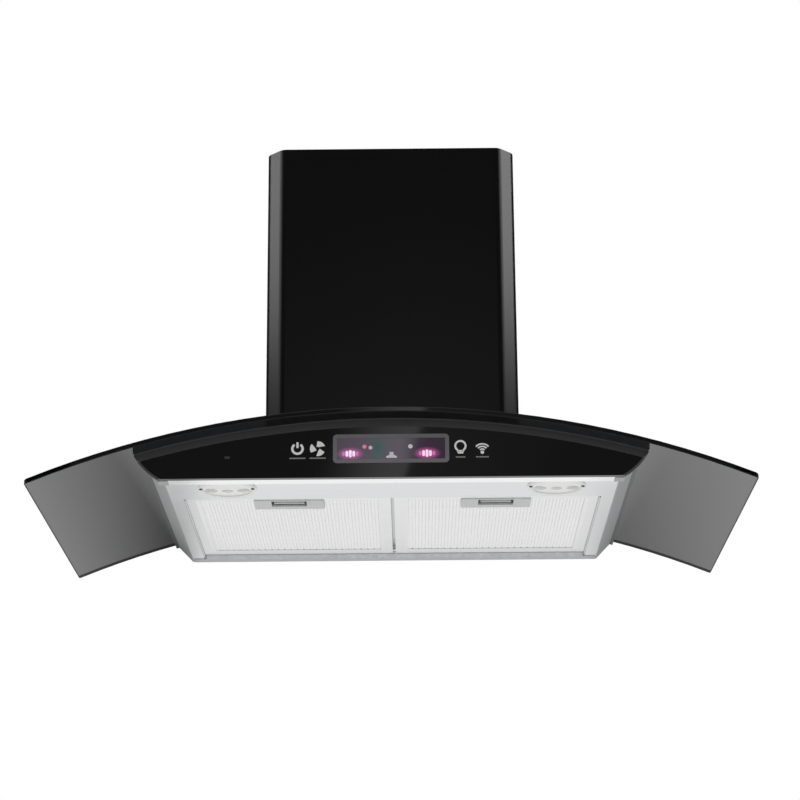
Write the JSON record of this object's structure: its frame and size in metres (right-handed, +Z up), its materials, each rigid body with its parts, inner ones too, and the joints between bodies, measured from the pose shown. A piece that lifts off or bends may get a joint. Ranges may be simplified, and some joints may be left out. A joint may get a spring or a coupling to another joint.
{
  "type": "wall mount range hood",
  "caption": "Wall mount range hood: bent smoked-glass canopy, glossy black touch panel, swing-down mesh filters with latches, round lamps, blower with flap collar and satin black chimney cover.",
  "frame": {"origin": "on the wall, halfway between the two screw holes of the wall bracket", "axes": "+X along the wall to the right seen from the room, +Y into the wall, +Z up"},
  "size_m": [0.9, 0.5, 0.5398],
  "materials": {
    "smoked_glass": "polished, smoked grey",
    "body_steel": "brushed",
    "galvanised_sheet": "galvanised",
    "black_chimney_coat": "satin black coat",
    "black_gloss_panel": "high gloss",
    "grey_trim": "satin grey",
    "display_window": "tinted, clear",
    "circuit_board": "solder mask",
    "lamp_diffuser": "frosted",
    "filter_aluminium": "bare, fine mesh",
    "grey_plastic": "moulded grey",
    "dark_plastic": "moulded black",
    "white_plastic": "moulded white",
    "black_rubber": "matte",
    "zinc_screws": "zinc plated",
    "shaft_steel": "ground",
    "motor_windings": "varnished copper on steel"
  },
  "bodies": {
    "hood": {"glass_canopy": "smoked_glass", "glass_gasket": "black_rubber", "glass_washers": "black_rubber", "glass_screws": "zinc_screws", "glass_nuts": "zinc_screws", "panel_screws": "zinc_screws", "body_deck": "body_steel", "body_front": "body_steel", "body_back": "galvanised_sheet", "side_panel_left": "body_steel", "side_panel_right": "body_steel", "underside_panel": "body_steel", "filter_centre_bar": "body_steel", "fascia_panel": "black_gloss_panel", "display_bezel": "grey_trim", "display_lens": "display_window", "display_module": "circuit_board", "touch_board": "circuit_board", "gesture_sensor": "grey_trim", "wall_bracket": "galvanised_sheet", "air_box": "galvanised_sheet", "scroll_front": "dark_plastic", "scroll_rear": "dark_plastic", "motor_bearings": "shaft_steel", "motor_can": "galvanised_sheet", "motor_cap": "galvanised_sheet", "motor_stator": "motor_windings", "motor_bracket": "galvanised_sheet", "duct_collar": "dark_plastic", "damper_pin": "shaft_steel", "control_box": "white_plastic", "control_box_lid": "white_plastic", "power_board": "circuit_board", "mains_gland": "dark_plastic", "run_capacitor": "white_plastic", "chimney_cover": "black_chimney_coat", "chimney_bracket": "galvanised_sheet", "chimney_stays": "galvanised_sheet", "lamp_housing_left": "grey_trim", "lamp_lens_left": "lamp_diffuser", "lamp_board_left": "circuit_board", "lamp_housing_right": "grey_trim", "lamp_lens_right": "lamp_diffuser", "lamp_board_right": "circuit_board"},
    "filter_left": {"filter_frame_left": "filter_aluminium", "filter_mesh_left": "filter_aluminium", "latch_housing_left": "grey_plastic", "latch_spring_left": "zinc_screws"},
    "latch_left": {"latch_slider_left": "dark_plastic"},
    "flap_left": {"damper_flap_left": "dark_plastic"},
    "filter_right": {"filter_frame_right": "filter_aluminium", "filter_mesh_right": "filter_aluminium", "latch_housing_right": "grey_plastic", "latch_spring_right": "zinc_screws"},
    "latch_right": {"latch_slider_right": "dark_plastic"},
    "flap_right": {"damper_flap_right": "dark_plastic"},
    "rotor": {"impeller": "dark_plastic", "motor_shaft": "shaft_steel", "motor_rotor": "shaft_steel"}
  },
  "joints": [
    {"name": "filter_left_swing", "type": "hinge", "parent": "hood", "child": "filter_left", "pos_m": [-0.135, -0.028, -0.2515], "axis": [1, 0, 0], "range_deg": [0, 50]},
    {"name": "latch_left_slide", "type": "slide", "parent": "filter_left", "child": "latch_left", "axis": [0, 1, 0], "range_m": [0, 0.006], "stiffness_N_per_m": 300, "springref_m": -0.004, "deforming": ["latch_spring_left"]},
    {"name": "flap_left_swing", "type": "hinge", "parent": "hood", "child": "flap_left", "pos_m": [0.044, -0.1275, 0.092], "axis": [0, 1, 0], "range_deg": [0, 80]},
    {"name": "filter_right_swing", "type": "hinge", "parent": "hood", "child": "filter_right", "pos_m": [0.135, -0.028, -0.2515], "axis": [1, 0, 0], "range_deg": [0, 50]},
    {"name": "latch_right_slide", "type": "slide", "parent": "filter_right", "child": "latch_right", "axis": [0, 1, 0], "range_m": [0, 0.006], "stiffness_N_per_m": 300, "springref_m": -0.004, "deforming": ["latch_spring_right"]},
    {"name": "flap_right_swing", "type": "hinge", "parent": "hood", "child": "flap_right", "pos_m": [0.044, -0.1275, 0.092], "axis": [0, -1, 0], "range_deg": [0, 80]},
    {"name": "blower_spin", "type": "hinge", "parent": "hood", "child": "rotor", "pos_m": [-0.009, -0.1275, -0.075], "axis": [0, -1, 0], "continuous": true}
  ]
}
